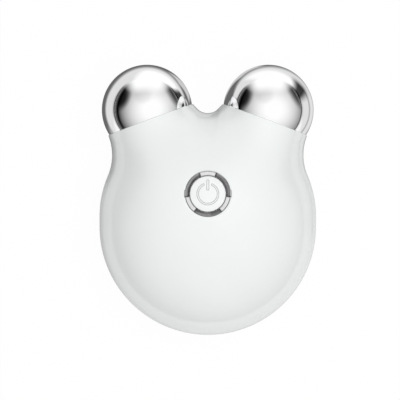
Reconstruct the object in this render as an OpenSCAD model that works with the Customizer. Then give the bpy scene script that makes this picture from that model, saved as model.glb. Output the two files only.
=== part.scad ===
// Facial toning device: a palm-sized moulded body with two bright ball electrodes on splayed horns
// and a lit power button on the front. The two shells hold the board, the battery, the switch, the
// light guide and the charging socket. The device lies on its back: X runs across the body, Y points
// to the electrodes, and Z points up, out of the front.

/* [Body outline] */
// Radius of the round lower body, half the width of the device
body_r = 34; // [32:0.5:37]
// Radius of the shoulders, where the sides start to draw in
shoulder_r = 32; // [30:0.5:35]
// Height above the body centre at which the shoulders start
shoulder_y = 3.4; // [1:0.2:6]
// Radius of the hollow neck between a shoulder and a collar
neck_r = 16.4; // [13:0.2:20]
// Height of the valley between the horns above the body centre
valley_y = 35.7; // [34:0.1:36.5]

/* [Body depth] */
// Depth of the front dome from the parting plane
front_depth = 20; // [18.5:0.5:23]
// Depth of the back dome from the parting plane, before the rest is cut
back_depth = 22.3; // [20:0.5:25]
// Depth of the flat that the device rests on, cut into the back dome
rest_cut = 1.3; // [1:0.1:1.6]
// Wall of both shells
wall = 1.8; // [1.5:0.1:2.2]
// How softly the horns melt into the domes, as a difference of squared heights
horn_melt = 260; // [150:10:350]
// How softly the two horns melt into each other, as a difference of squared heights
valley_melt = 200; // [120:10:300]
// How far the horns run on under the domes, from the seam
horn_reach = 24; // [20:0.5:28]

/* [Electrodes] */
// Radius of each ball
ball_r = 14.2; // [13:0.1:15]
// Height of the ball centres above the body centre
ball_y = 36.7; // [36:0.1:38.5]
// Gap between the two collars at the valley
collar_gap = 9.2; // [8:0.2:12]
// Angle by which each horn leans outwards
splay = 20.4; // [17:0.2:23]
// Distance of the seam below the ball centre, along the horn
seam_drop = 3.3; // [2.6:0.1:4.2]
// How far the collar stands proud of the ball at the seam
collar_step = 0.4; // [0.1:0.05:0.7]
// Wall of the hollow balls
ball_wall = 1.5; // [1.2:0.1:2]
// Wall of the collar round the neck of a ball
collar_wall = 1.6; // [1.4:0.1:2]
// Length of the collar along the horn
collar_l = 1.4; // [1:0.1:2]
// Length of the flange that the shells grip behind the collar
flange_l = 2.8; // [2.4:0.1:3.4]
// How far the flange stands out beyond the neck of a ball
flange_step = 0.4; // [0.3:0.05:0.5]
// Thickness of the sealing ring's cord
seal_d = 1.2; // [1:0.1:1.4]
// Radius of the boss that takes the contact screw
contact_boss_r = 3; // [2.6:0.1:4]
// Length of the boss that takes the contact screw
contact_boss_l = 1.5; // [1:0.1:2.5]
// Thickness of the contact lug
lug_t = 0.5; // [0.3:0.1:0.8]

/* [Power button] */
// Height of the button axis above the body centre
button_y = 10.3; // [8:0.1:12]
// Outer radius of the bright ring round the button
ring_r = 7.1; // [7:0.1:8]
// Radius of the button cap
button_r = 5.55; // [5:0.05:5.8]
// Gap between the button cap and the ring
button_gap = 0.15; // [0.1:0.05:0.3]
// Travel of the button
travel = 0.5; // [0.3:0.1:0.7]
// How far the ring's face lies below the top of the front dome
ring_drop = 0.3; // [0:0.1:0.6]
// Height of the ring
ring_h = 2.5; // [2:0.1:3]
// Height of the seat that carries the ring
seat_h = 1.8; // [1.6:0.1:2.4]
// Wall of the boss round the ring
boss_wall = 1.95; // [1.5:0.05:2.5]
// Angle that each light window spans
window_span = 43; // [30:1:60]
// Number of light windows
window_count = 3; // [2:1:5]
// Width of each rim of the ring beside the windows
rim_w = 0.2; // [0.14:0.02:0.3]
// Depth of the hollow in the bridges between the windows
dish_depth = 0.2; // [0.05:0.05:0.3]
// How far the three lips of the cap reach under the ring's bridges
cap_lip = 0.5; // [0.3:0.1:0.6]
// Crown of the button cap
button_crown = 0.25; // [0.1:0.05:0.5]
// Radius of the button's stem
stem_r = 1.9; // [1.5:0.1:2.4]
// Thickness of the light guide's plate
guide_t = 1.5; // [1:0.1:2]

/* [Board and battery] */
// Radius of the circuit board
board_r = 30; // [28:0.25:30.5]
// Thickness of the circuit board
board_t = 1.6; // [1:0.2:2]
// Height at which the board's upper edge is cut straight
board_top = 21; // [19:0.5:22]
// Side of the switch body
switch_w = 6; // [5:0.2:6.4]
// Height of the switch body
switch_h = 3.5; // [3:0.1:4]
// Height of the switch's plunger above its body
plunger_h = 5; // [4:0.5:6]
// Width of the battery
battery_w = 30; // [24:0.5:32]
// Length of the battery
battery_l = 38; // [30:0.5:38]
// Thickness of the battery
battery_t = 6; // [4:0.5:6.5]
// Height of the battery's middle above the body centre
battery_y = 2; // [0:0.5:3]
// Thickness of the foam pad between board and battery
pad_t = 1.5; // [1:0.1:2]
// Radius of the insulated leads
lead_r = 0.6; // [0.4:0.05:0.7]

/* [Hidden] */
$fn = 72;
eps = 0.01;
far = 60;

// Small gap between pieces that are fixed to each other
fit = 0.1;
// Gap round a piece that slides
slide = 0.2;

// Outline: the horn's direction, the direction across it, and the points that fix the arcs
horn_u = [sin(splay), cos(splay)];
horn_n = [cos(splay), -sin(splay)];
ball_seam_r = sqrt(ball_r * ball_r - seam_drop * seam_drop);
collar_r = ball_seam_r + collar_step;
gap_half = collar_gap / 2;
seam_mid = [gap_half + collar_r * horn_n.x, ball_y - seam_drop * horn_u.y];
collar_out = seam_mid + collar_r * horn_n;
shoulder_at = [body_r - shoulder_r, shoulder_y];
neck_at = meeting(shoulder_at, shoulder_r + neck_r, collar_out, neck_r);
turn = atan2(neck_at.y - shoulder_at.y, neck_at.x - shoulder_at.x);
valley_at = [0, valley_y + gap_half];
button_at = [0, button_y];

// Overall place: the rest lies on the ground, and the origin is under the middle of the device
top_y = ball_y + ball_r;
mid_y = (top_y - body_r) / 2;
rest_z = back_depth - rest_cut;

// Electrode neck, from the seam down the horn, and where the hollow of the shells ends behind it
neck_bore_r = collar_r - collar_wall;
neck_ball_r = neck_bore_r - fit;
flange_r = neck_ball_r + flange_step;
flange_bore_r = flange_r + fit;
flange_end = collar_l + flange_l;
hollow_back = collar_l + 1;
floor_t = 1.4;
contact_z = flange_end + contact_boss_l;
screw_r = 0.95;
screw_head_r = 1.9;
screw_head_h = 1.2;
slot_l = 2.4;
slot_w = 0.4;
slot_depth = 0.5;
lug_r = 2.6;
lug_reach = 5;
crimp_r = 0.95;
crimp_l = 3;

// Button stack, from the face down
ring_top = front_depth - ring_drop;
ring_foot = ring_top - ring_h;
seat_foot = ring_foot - seat_h;
ring_hole_r = button_r + button_gap;
window_in = ring_hole_r + rim_w;
window_out = ring_r - rim_w;
boss_r = ring_r + boss_wall;
dish_w = window_out - window_in;
dish_sag = min(dish_depth, dish_w / 4);
dish_r = (dish_w * dish_w / 4 + dish_sag * dish_sag) / (2 * dish_sag);
button_top = ring_top - fit;
ring_chamfer = 0.12;
key_w = 2.4;
key_step = 0.2;
cap_wall = 1.4;
cap_rib_t = 0.7;
crown_steps = 6;
touch = 0.05;
button_lip_r = ring_hole_r + cap_lip;
button_lip_h = 0.7;
button_lip_z = ring_foot - fit - button_lip_h;
bridge_span = 360 / window_count - window_span;
lip_play = 3;
plunger_top = switch_h + plunger_h;
plunger_r = 1.7;
plunger_root = 0.9;
leg_span = 22;

// Board, screws and posts
board_screw_at = [[21, -12], [19, 15.5]];
board_boss_r = 2.8;
board_pilot_r = 0.9;
board_pilot_l = 6;
post_at = [24, -6];
post_r = 1.6;
rib_t = 1.2;
rib_z = 13;
rib_root = 0.3;

// Lip that locates the shells on each other
lip_in = wall - 0.1;
lip_out = wall / 2 + 0.05;
lip_h = 1.4;
lip_root = 0.5;
lip_top = 23;
hook_w = 5;
hook_h = 0.6;
hook_out = 0.35;
hook_root = 0.2;
hook_angles = [-28, -72, -108, -152];

// Charging socket
socket_w = 8.94;
socket_h = 3.26;
socket_l = 7.35;
socket_wall = 0.3;
socket_inset = 1;
socket_mouth = body_r - socket_inset;
tongue_w = 6.6;
tongue_t = 0.7;
tongue_inset = 1;
socket_z = -board_t - socket_h / 2;

// Battery, its tabs, its fences, its plug and its leads
battery_z = -board_t - pad_t - battery_t;
battery_gap = 0.3;
tab_inset = 3;
tab_t = 0.8;
tab_l = 2;
tab_root = 1;
fence_l = 6;
plug_at = [20.5, 1];
plug_size = [5, 6, 4];
pole_half = 1.25;
plug_depth = 1.4;
battery_lead_x = 2;
battery_lead_out = 3;
battery_lead_round = 16;

// Parts on the board
led_h = 0.9;
led_w = 1.6;
led_r = 0.6;
led_gap = 0.3;
switch_leg = [1, 0.7, 0.3];
switch_leg_y = 2.25;
chip_at = [-15, -6];
chip_side = 7;
chip_h = 1;
chip_lift = 0.15;
chip_pins = 8;
pin_pitch = 0.8;
pin_l = 0.8;
pin_w = 0.3;
pin_root = 0.2;
coil_at = [14, -6];
coil_side = 6;
coil_h = 3;
coil_groove = 0.5;
capacitor_gap = 8;
capacitor_y = -17;
capacitor_r = 2;
capacitor_h = 5;
capacitor_foot = 4.4;
capacitor_foot_h = 0.6;
pad_at_board = [8, 17.5];
pad_lift = 1;
lead_out = 4;
lead_down = 7;

// Where two circles about a and b meet, on the right-hand side of the way from a to b
function meeting(a, ra, b, rb) =
    let (d = b - a, l = norm(d), s = (ra * ra - rb * rb + l * l) / (2 * l), h = sqrt(ra * ra - s * s))
    a + d * s / l + [d.y, -d.x] * h / l;

// Points on an arc about c, without its last point, lying on the parting plane
function arc(c, r, from, to, steps) =
    [for (i = [0 : steps - 1]) let (a = from + (to - from) * i / steps)
        [c.x + r * cos(a), c.y + r * sin(a), 0]];

// Half circle of a horn's end, seen from above, with the square of its height as third value
function horn_end(inset, back, steps) =
    let (r = collar_r - inset, mid = seam_mid - back * horn_u)
    [for (i = [0 : steps]) let (p = mid + r * cos(180 * i / steps) * horn_n)
        [p.x, p.y, pow(r * sin(180 * i / steps), 2)]];

// Arc of the valley from the end of its tangent at p down to the axis
function valley(p, inset, steps) =
    let (r = gap_half + inset, d = p - valley_at,
        from = atan2(d.y, d.x) - acos(min(1, r / norm(d))))
    concat(arc(valley_at, r, from, -90, steps), [[0, valley_at.y - r, 0]]);

// Right half of the outline, drawn in by inset, with the horn's end set back by back
function half_outline(inset, back) =
    let (seam = horn_end(inset, back, 16), tip = seam[len(seam) - 1],
        side = seam[0] - [neck_at.x, neck_at.y, 0])
    concat(
        arc([0, 0], body_r - inset, -90, 0, 14),
        arc(shoulder_at, shoulder_r - inset, 0, turn, 5),
        arc(neck_at, neck_r + inset, turn + 180, atan2(side.y, side.x), 8),
        seam,
        valley([tip.x, tip.y], inset, 5));

// Whole outline, counter-clockwise from the bottom
function outline(inset, back = 0) =
    let (half = half_outline(inset, back), n = len(half))
    concat(half, [for (i = [n - 2 : -1 : 1]) [-half[i].x, half[i].y, half[i].z]]);

function flat(points) = [for (p = points) [p.x, p.y]];

// Squared height of the right horn's round back over the point p
function horn_height(p, inset) =
    let (q = p - seam_mid, across = q * horn_n, beyond = min(q * horn_u + horn_reach, 0))
    pow(collar_r - inset, 2) - across * across - beyond * beyond;

// Squared height of the dome over p: an ellipse along each ray from the button to the body's edge
function dome_height(p, inset, depth) =
    let (r = body_r - inset, mid = (valley_y - body_r) / 2, k = r / ((valley_y + body_r) / 2 - inset),
        a = [0, (button_y - mid) * k], v = [p.x, (p.y - mid) * k] - a, l = norm(v),
        s = l > 0 ? a * v / l : 0, ray = sqrt(s * s + r * r - a * a) - s)
    depth * depth * (1 - pow(l / ray, 2));

// The larger of a and b, with a soft rise where they are close that is a quarter of width at most
function melt(a, b, width) =
    let (reach = 1.5 * width) max(a, b) + pow(max(reach - abs(a - b), 0), 3) / (6 * reach * reach);

function skin_height(p, inset, depth) =
    melt(melt(horn_height(p, inset), horn_height([-p.x, p.y], inset), valley_melt),
        dome_height(p, inset, depth), horn_melt);

// Closed dome over the outline. Rays run from the button to the outline, and what is left of the
// height there is taken off with the fourth power of the way out, so the rim lies as drawn.
module dome(inset, depth, skirt, back = 0, rings = 13) {
    rim = outline(inset, back);
    n = len(rim);
    left = [for (q = rim) skin_height([q.x, q.y], inset, depth) - q.z];
    skin = [for (j = [1 : rings], i = [0 : n - 1])
        let (t = sin(90 * j / rings), p = button_at + t * ([rim[i].x, rim[i].y] - button_at),
            h = skin_height(p, inset, depth) - pow(t, 4) * left[i])
        [p.x, p.y, j == rings ? sqrt(rim[i].z) : sqrt(max(h, 0))]];
    base = [for (q = rim) [q.x, q.y, -skirt]];
    top = n * rings;
    first = n * (rings - 1);
    // A rim point on the ground with no skirt is its own foot
    foot = [for (i = [0 : n - 1]) (skirt > 0 || rim[i].z > eps) ? top + i : first + i];
    points = concat(skin, base,
        [[0, button_y, sqrt(skin_height(button_at, inset, depth))], [0, button_y, -skirt]]);
    peak = len(points) - 2;
    faces = concat(
        [for (i = [0 : n - 1]) [peak, (i + 1) % n, i]],
        [for (j = [0 : rings - 2], i = [0 : n - 1], k = [0, 1])
            let (a = j * n + i, b = j * n + (i + 1) % n)
            k == 0 ? [a, b, b + n] : [a, b + n, a + n]],
        [for (i = [0 : n - 1]) let (m = (i + 1) % n)
            if (foot[m] != first + m) [first + i, first + m, foot[m]]],
        [for (i = [0 : n - 1]) let (m = (i + 1) % n)
            if (foot[i] != first + i) [first + i, foot[m], foot[i]]],
        [for (i = [0 : n - 1]) [peak + 1, foot[i], foot[(i + 1) % n]]]);
    polyhedron(points, faces);
}

// ---- places ------------------------------------------------------------------------------------
module at_rest() {
    translate([0, -mid_y, rest_z]) children();
}

module both_sides() {
    children();
    mirror([1, 0, 0]) children();
}

// On the right horn's axis, with Z along the horn and zero at the seam
module on_horn() {
    translate([seam_mid.x, seam_mid.y, 0]) rotate([0, 0, -splay]) rotate([-90, 0, 0]) children();
}

module on_button(z = 0) {
    translate([0, button_y, z]) children();
}

// Disc of the ring with the two keys at its sides that stop it from turning
module ring_disc(grow, h) {
    cylinder(r = ring_r + grow, h = h);
    intersection() {
        cylinder(r = ring_r + key_step + grow, h = h);
        translate([-far, -key_w / 2 - grow, 0]) cube([2 * far, key_w + 2 * grow, h]);
    }
}

// Ring segments about the button, one for each light window or, half a step on, for each bridge
module segments(span, r_in, r_out, h, first = 90) {
    for (i = [0 : window_count - 1])
        rotate([0, 0, first + i * 360 / window_count - span / 2])
            rotate_extrude(angle = span) translate([r_in, 0]) square([r_out - r_in, h]);
}

module at_windows(span, r_in, r_out, z, h) {
    on_button(z) segments(span, r_in, r_out, h);
}

// Way through the seat of the ring: a bore for the cap and its lips, with a slot for each window
module seat_bore() {
    on_button(0) cylinder(r = button_lip_r + slide, h = far);
    at_windows(window_span + lip_play, window_in - fit, window_out + fit, 0, far);
}

module at_board_screws() {
    for (p = board_screw_at) both_sides() translate([p.x, p.y, 0]) children();
}

// ---- shells ------------------------------------------------------------------------------------
// Bores that grip the neck and the flange of both balls
module horn_bores() {
    both_sides() on_horn() {
        translate([0, 0, -collar_l - eps]) cylinder(r = neck_bore_r, h = collar_l + 2);
        translate([0, 0, -flange_end - fit]) cylinder(r = flange_bore_r, h = flange_l + fit);
    }
}

module lip_shape(inset) {
    intersection() {
        polygon(flat(outline(inset, hollow_back)));
        translate([-far, -far]) square([2 * far, far + lip_top - inset]);
    }
}

module hooks(grow) {
    for (a = hook_angles) rotate([0, 0, a])
        translate([body_r - lip_out - hook_root, -hook_w / 2 - grow, -lip_h + fit - grow])
            cube([hook_root + hook_out + grow, hook_w + 2 * grow, hook_h + 2 * grow]);
}

module front_shell() {
    color("white") at_rest() difference() {
        union() {
            difference() {
                dome(0, front_depth, 0);
                difference() {
                    dome(wall, front_depth - wall, 1, hollow_back, 8);
                    front_fittings();
                }
            }
            translate([0, 0, -lip_h]) linear_extrude(lip_h + lip_root) difference() {
                lip_shape(lip_out);
                polygon(flat(outline(lip_in, hollow_back)));
            }
            hooks(0);
        }
        horn_bores();
        on_button(ring_foot) ring_disc(fit / 2, far);
        seat_bore();
        at_board_screws() translate([0, 0, -1]) cylinder(r = board_pilot_r, h = board_pilot_l + 1);
    }
}

// Boss round the ring, bosses for the board screws and the ribs that tie them together
module front_fittings() {
    on_button(seat_foot) cylinder(r = boss_r, h = far);
    at_board_screws() cylinder(r = board_boss_r, h = far);
    for (p = board_screw_at) both_sides() {
        d = p - button_at;
        on_button(rib_z) rotate([0, 0, atan2(d.y, d.x)])
            translate([boss_r - rib_root, -rib_t / 2, 0]) cube([norm(d) - boss_r, rib_t, far]);
    }
}

module back_shell() {
    color("white") at_rest() difference() {
        mirror([0, 0, 1]) dome(0, back_depth, 0);
        difference() {
            mirror([0, 0, 1]) dome(wall, back_depth - wall, 1, hollow_back, 8);
            back_fittings();
            translate([-far, -far, -far - rest_z + wall]) cube([2 * far, 2 * far, far]);
        }
        translate([-far, -far, -far - rest_z]) cube([2 * far, 2 * far, far]);
        translate([0, 0, -lip_h - fit]) linear_extrude(lip_h + 2 * fit) lip_shape(lip_out - fit);
        hooks(fit);
        horn_bores();
        translate([0, wall + socket_inset - socket_mouth, socket_z]) rotate([90, 0, 0])
            stadium(socket_w + 2 * slide, socket_h + 2 * slide, far);
    }
}

// Posts under the board, ribs under the battery and fences at its corners
module back_fittings() {
    both_sides() translate([post_at.x, post_at.y, -far]) cylinder(r = post_r, h = far - board_t - fit);
    for (y = [-1, 0, 1] * battery_l / 3)
        translate([-battery_w / 2, battery_y + y - rib_t / 2, -far])
            cube([battery_w, rib_t, far + battery_z - fit]);
    both_sides() for (s = [-1, 1])
        translate([battery_w / 2 + battery_gap,
            battery_y + s * (battery_l / 2 - fence_l) - fence_l / 2, -far])
            cube([rib_t, fence_l, far + battery_z + battery_t / 2]);
}

// Bar with round ends, centred across X and Y
module stadium(w, h, l) {
    linear_extrude(l) {
        square([w - h, h], center = true);
        for (s = [-1, 1]) translate([s * (w - h) / 2, 0]) circle(d = h);
    }
}

// ---- electrodes --------------------------------------------------------------------------------
module electrode() {
    seal_mid_r = flange_bore_r - seal_d / 2 - fit / 4;
    inner_r = neck_ball_r - ball_wall;
    difference() {
        union() {
            intersection() {
                translate([0, 0, seam_drop]) sphere(r = ball_r);
                cylinder(r = far, h = far);
            }
            translate([0, 0, -flange_end]) cylinder(r = neck_ball_r, h = flange_end + 1);
            translate([0, 0, -flange_end]) cylinder(r = flange_r, h = flange_l - fit);
            translate([0, 0, -contact_z]) cylinder(r = contact_boss_r, h = contact_boss_l + 1);
        }
        intersection() {
            translate([0, 0, seam_drop]) sphere(r = ball_r - ball_wall);
            translate([0, 0, seam_drop / 2]) cylinder(r = far, h = far);
        }
        translate([0, 0, floor_t - flange_end]) cylinder(r = inner_r, h = flange_end - floor_t + seam_drop);
        translate([0, 0, -contact_z - 1]) cylinder(r = screw_r, h = contact_boss_l + floor_t + 2);
        translate([0, 0, -collar_l - flange_l / 2 - seal_d / 2 - fit]) difference() {
            cylinder(r = far, h = seal_d + 2 * fit);
            translate([0, 0, -1]) cylinder(r = seal_mid_r - seal_d / 2 - fit / 4, h = seal_d + 3);
        }
    }
}

module seal() {
    translate([0, 0, -collar_l - flange_l / 2])
        rotate_extrude() translate([flange_bore_r - seal_d / 2 - fit / 4, 0]) circle(d = seal_d);
}

// Lug under the boss, with a tab towards the device's axis and a crimp for the lead
module contact() {
    translate([0, 0, -contact_z - lug_t]) difference() {
        union() {
            cylinder(r = lug_r, h = lug_t);
            translate([-lug_reach, -crimp_r, 0]) cube([lug_reach, 2 * crimp_r, lug_t]);
        }
        translate([0, 0, -1]) cylinder(r = screw_r + fit, h = lug_t + 2);
    }
    translate([-lug_reach, 0, crimp_r - contact_z - lug_t]) rotate([0, -90, 0])
        cylinder(r = crimp_r, h = crimp_l);
}

// Screw with its head downwards, its underside of the head at zero and a crossed slot in the head
module screw(shank_r, shank_l) {
    translate([0, 0, -screw_head_h]) difference() {
        union() {
            cylinder(r = screw_head_r, h = screw_head_h);
            cylinder(r = shank_r, h = screw_head_h + shank_l);
        }
        for (a = [0, 90]) rotate([0, 0, a])
            translate([-slot_l / 2, -slot_w / 2, -1]) cube([slot_l, slot_w, slot_depth + 1]);
    }
}

module contact_screw() {
    translate([0, 0, -contact_z - lug_t]) screw(screw_r - fit / 2, lug_t + contact_boss_l + floor_t);
}

module right_electrode() {
    color("silver") at_rest() on_horn() electrode();
}

module left_electrode() {
    color("silver") at_rest() mirror([1, 0, 0]) on_horn() electrode();
}

module right_seal() {
    color("dimgray") at_rest() on_horn() seal();
}

module left_seal() {
    color("dimgray") at_rest() mirror([1, 0, 0]) on_horn() seal();
}

module right_contact() {
    color("goldenrod") at_rest() on_horn() contact();
}

module left_contact() {
    color("goldenrod") at_rest() mirror([1, 0, 0]) on_horn() contact();
}

module contact_screws() {
    color("gray") at_rest() both_sides() on_horn() contact_screw();
}

// ---- leads -------------------------------------------------------------------------------------
// Point at share t of the curve that leaves a towards b and reaches d from c
function bend(a, b, c, d, t) =
    pow(1 - t, 3) * a + 3 * pow(1 - t, 2) * t * b + 3 * (1 - t) * t * t * c + pow(t, 3) * d;

function unit(v) = v / norm(v);

// Round lead along a curve, with a ring of eight points at each step
module lead(a, b, c, d, steps = 14, sides = 8) {
    path = [for (i = [0 : steps]) bend(a, b, c, d, i / steps)];
    points = [for (i = [0 : steps])
        let (along = unit(i == 0 ? b - a : i == steps ? d - c : path[i + 1] - path[i - 1]),
            across = unit(cross(along, [0, 0, 1])), up = cross(across, along))
        for (k = [0 : sides - 1])
            path[i] + lead_r * (cos(360 * k / sides) * across + sin(360 * k / sides) * up)];
    faces = concat(
        [[for (k = [0 : sides - 1]) k]],
        [for (i = [0 : steps - 1], k = [0 : sides - 1], half = [0, 1])
            let (p = i * sides + k, q = i * sides + (k + 1) % sides)
            half == 0 ? [p, p + sides, q + sides] : [p, q + sides, q]],
        [[for (k = [sides - 1 : -1 : 0]) steps * sides + k]]);
    polyhedron(points, faces);
}

// From the crimp of the right contact to its pad on the board
module electrode_lead() {
    along = seam_mid - (contact_z + lug_t - crimp_r) * horn_u;
    start = along - (lug_reach + crimp_l) * horn_n;
    out = start - lead_out * horn_n;
    lead([start.x, start.y, 0], [out.x, out.y, 0],
        [pad_at_board.x, pad_at_board.y + lead_down, lead_r + pad_lift],
        [pad_at_board.x, pad_at_board.y, lead_r + eps]);
}

module right_lead() {
    color("firebrick") at_rest() electrode_lead();
}

module left_lead() {
    color("firebrick") at_rest() mirror([1, 0, 0]) electrode_lead();
}

// ---- button ------------------------------------------------------------------------------------
// Ring round the cap, with its windows and, between them, the shallow hollow of its bridges
module button_ring() {
    color("silver") at_rest() difference() {
        on_button(ring_foot) ring_disc(0, ring_h);
        on_button(ring_foot - 1) cylinder(r = ring_hole_r, h = ring_h + 2);
        at_windows(window_span, window_in, window_out, ring_foot - 1, ring_h + 2);
        on_button(ring_top + dish_r - dish_sag)
            rotate_extrude() translate([(window_in + window_out) / 2, 0]) circle(r = dish_r);
        on_button(ring_top - ring_chamfer) difference() {
            cylinder(r = ring_r + 1, h = 1);
            cylinder(r1 = ring_r, r2 = ring_r - 1, h = 1);
        }
    }
}

module light_guide() {
    color("lightgray") at_rest() {
        difference() {
            on_button(seat_foot - guide_t) cylinder(r = boss_r - 0.6, h = guide_t);
            on_button(seat_foot - guide_t - 1) cylinder(r = stem_r + slide, h = guide_t + 2);
        }
        at_windows(window_span - 2, window_in + fit / 4, window_out - fit / 4, seat_foot - eps,
            ring_top - seat_foot - fit / 2);
        at_windows(leg_span, window_in, window_out, led_h + led_gap,
            seat_foot - guide_t - led_h - led_gap + eps);
    }
}

// Crowned cap, hollow round a ribbed stem, with a lip under each bridge of the ring. Its lips lie
// between the prisms of the light guide, so that the cap can't turn.
module power_button() {
    crown_r = (button_r * button_r + button_crown * button_crown) / (2 * button_crown);
    edge_a = asin(button_r / crown_r);
    crown = [for (i = [0 : crown_steps]) let (a = edge_a * i / crown_steps)
        [crown_r * sin(a), button_top - crown_r * (1 - cos(a))]];
    color("white") at_rest() on_button() difference() {
        union() {
            rotate_extrude() polygon(concat(crown, [[button_r, button_lip_z], [stem_r, button_lip_z],
                [stem_r, plunger_top + touch], [0, plunger_top + touch]]));
            translate([0, 0, button_lip_z]) segments(bridge_span - 2 * lip_play, button_r - cap_wall / 2,
                button_lip_r, button_lip_h, 90 + 180 / window_count);
        }
        difference() {
            translate([0, 0, button_lip_z - 1])
                cylinder(r = button_r - cap_wall, h = button_top - cap_wall - button_lip_z + 1);
            cylinder(r = stem_r, h = far);
            for (a = [0, 90]) rotate([0, 0, a])
                translate([-far, -cap_rib_t / 2, button_lip_z]) cube([2 * far, cap_rib_t, far]);
        }
    }
}

module power_switch() {
    color("dimgray") at_rest() on_button() difference() {
        union() {
            translate([-switch_w / 2, -switch_w / 2, 0]) cube([switch_w, switch_w, switch_h]);
            for (x = [-1, 1], y = [-1, 1])
                translate([x * switch_w / 2 - switch_leg.x / 2, y * switch_leg_y - switch_leg.y / 2, 0])
                    cube(switch_leg);
        }
        translate([0, 0, switch_h - plunger_root - travel - fit]) cylinder(r = plunger_r + fit, h = far);
    }
}

module switch_plunger() {
    color("black") at_rest() on_button(switch_h - plunger_root)
        cylinder(r = plunger_r, h = plunger_h + plunger_root);
}

// ---- board and what it carries -----------------------------------------------------------------
module circuit_board() {
    color("seagreen") at_rest() difference() {
        translate([0, 0, -board_t]) cylinder(r = board_r, h = board_t);
        translate([-far, board_top, -far]) cube(2 * far);
        at_board_screws() translate([0, 0, -board_t - 1])
            cylinder(r = board_pilot_r + slide, h = board_t + 2);
    }
}

module board_screws() {
    color("gray") at_rest() at_board_screws() translate([0, 0, -board_t])
        screw(board_pilot_r - fit / 2, board_t + board_pilot_l - 1);
}

module indicator_leds() {
    r = (window_in + window_out) / 2;
    color("khaki") at_rest() on_button()
        for (i = [0 : window_count - 1]) rotate([0, 0, 90 + i * 360 / window_count]) translate([r, 0, 0]) {
            translate([-led_w / 2, -led_w / 2, 0]) cube([led_w, led_w, led_h / 2]);
            cylinder(r = led_r, h = led_h);
        }
}

// Flat package with a row of pins on each side
module control_chip() {
    color("black") at_rest() translate([chip_at.x, chip_at.y, 0]) {
        translate([-chip_side / 2, -chip_side / 2, chip_lift]) cube([chip_side, chip_side, chip_h]);
        for (a = [0 : 90 : 270], i = [0 : chip_pins - 1]) rotate([0, 0, a])
            translate([chip_side / 2 - pin_root, (i - (chip_pins - 1) / 2) * pin_pitch - pin_w / 2, 0])
                cube([pin_root + pin_l, pin_w, pin_w]);
    }
}

// Square block with the round groove of its winding in the top
module boost_coil() {
    color("darkslategray") at_rest() translate([coil_at.x, coil_at.y, 0]) difference() {
        translate([-coil_side / 2, -coil_side / 2, 0]) cube([coil_side, coil_side, coil_h]);
        translate([0, 0, coil_h - coil_groove]) difference() {
            cylinder(d = coil_side - 1, h = coil_groove + 1);
            cylinder(d = coil_side / 2, h = coil_groove + 1);
        }
    }
}

module capacitors() {
    color("silver") at_rest() for (i = [-1 : 1]) translate([i * capacitor_gap, capacitor_y, 0]) {
        translate([-capacitor_foot / 2, -capacitor_foot / 2, 0])
            cube([capacitor_foot, capacitor_foot, capacitor_foot_h]);
        cylinder(r = capacitor_r, h = capacitor_h);
    }
}

// Shell of the socket with the tongue inside it, its mouth towards the lower end of the body
module charging_socket() {
    color("silver") at_rest() translate([0, -socket_mouth, socket_z]) rotate([-90, 0, 0]) {
        difference() {
            stadium(socket_w, socket_h, socket_l);
            translate([0, 0, -1]) stadium(socket_w - 2 * socket_wall, socket_h - 2 * socket_wall, socket_l);
        }
        translate([-tongue_w / 2, -tongue_t / 2, tongue_inset])
            cube([tongue_w, tongue_t, socket_l - tongue_inset - socket_wall]);
    }
}

// Flat cell with round edges and a tab for the leads at its upper end
module battery() {
    color("gainsboro") at_rest() translate([0, battery_y, battery_z + battery_t / 2]) rotate([90, 0, 0]) {
        translate([0, 0, -battery_l / 2]) stadium(battery_w, battery_t, battery_l);
        translate([tab_inset - battery_w / 2, -tab_t / 2, -battery_l / 2 - tab_l])
            cube([battery_w - 2 * tab_inset, tab_t, tab_l + tab_root]);
    }
}

module battery_pad() {
    color("dimgray") at_rest()
        translate([(battery_t - battery_w) / 2, battery_y - battery_l / 2 + 1, -board_t - pad_t])
            cube([battery_w - battery_t, battery_l - 2, pad_t]);
}

// Plug under the board, with a bore for each lead
module battery_connector() {
    color("ivory") at_rest() translate([plug_at.x, plug_at.y, -board_t - plug_size.z / 2]) difference() {
        cube(plug_size, center = true);
        for (s = [-1, 1]) translate([s * pole_half, plug_size.y / 2, 0]) rotate([90, 0, 0])
            cylinder(r = lead_r + fit, h = 2 * plug_depth + fit, center = true);
    }
}

// From the battery's tab out past the corner of the cell and straight down into the plug. The lead
// that starts on the left is the outer one of the turn and ends on the right.
module battery_leads() {
    y = battery_y + battery_l / 2 + tab_l;
    z = battery_z + battery_t / 2;
    end = [plug_at.x, plug_at.y + plug_size.y / 2 - plug_depth, -board_t - plug_size.z / 2];
    color("firebrick") at_rest() for (s = [-1, 1]) {
        start = [s * battery_lead_x, y, z];
        stop = end - [s * pole_half, 0, 0];
        lead(start, start + [0, battery_lead_out - s, 0],
            [stop.x, y + battery_lead_round - 2 * s, stop.z], stop, 16);
    }
}

front_shell();
back_shell();
left_electrode();
right_electrode();
left_seal();
right_seal();
left_contact();
right_contact();
contact_screws();
left_lead();
right_lead();
button_ring();
light_guide();
power_button();
power_switch();
switch_plunger();
circuit_board();
board_screws();
indicator_leds();
control_chip();
boost_coil();
capacitors();
charging_socket();
battery();
battery_pad();
battery_connector();
battery_leads();
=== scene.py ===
import math

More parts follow.
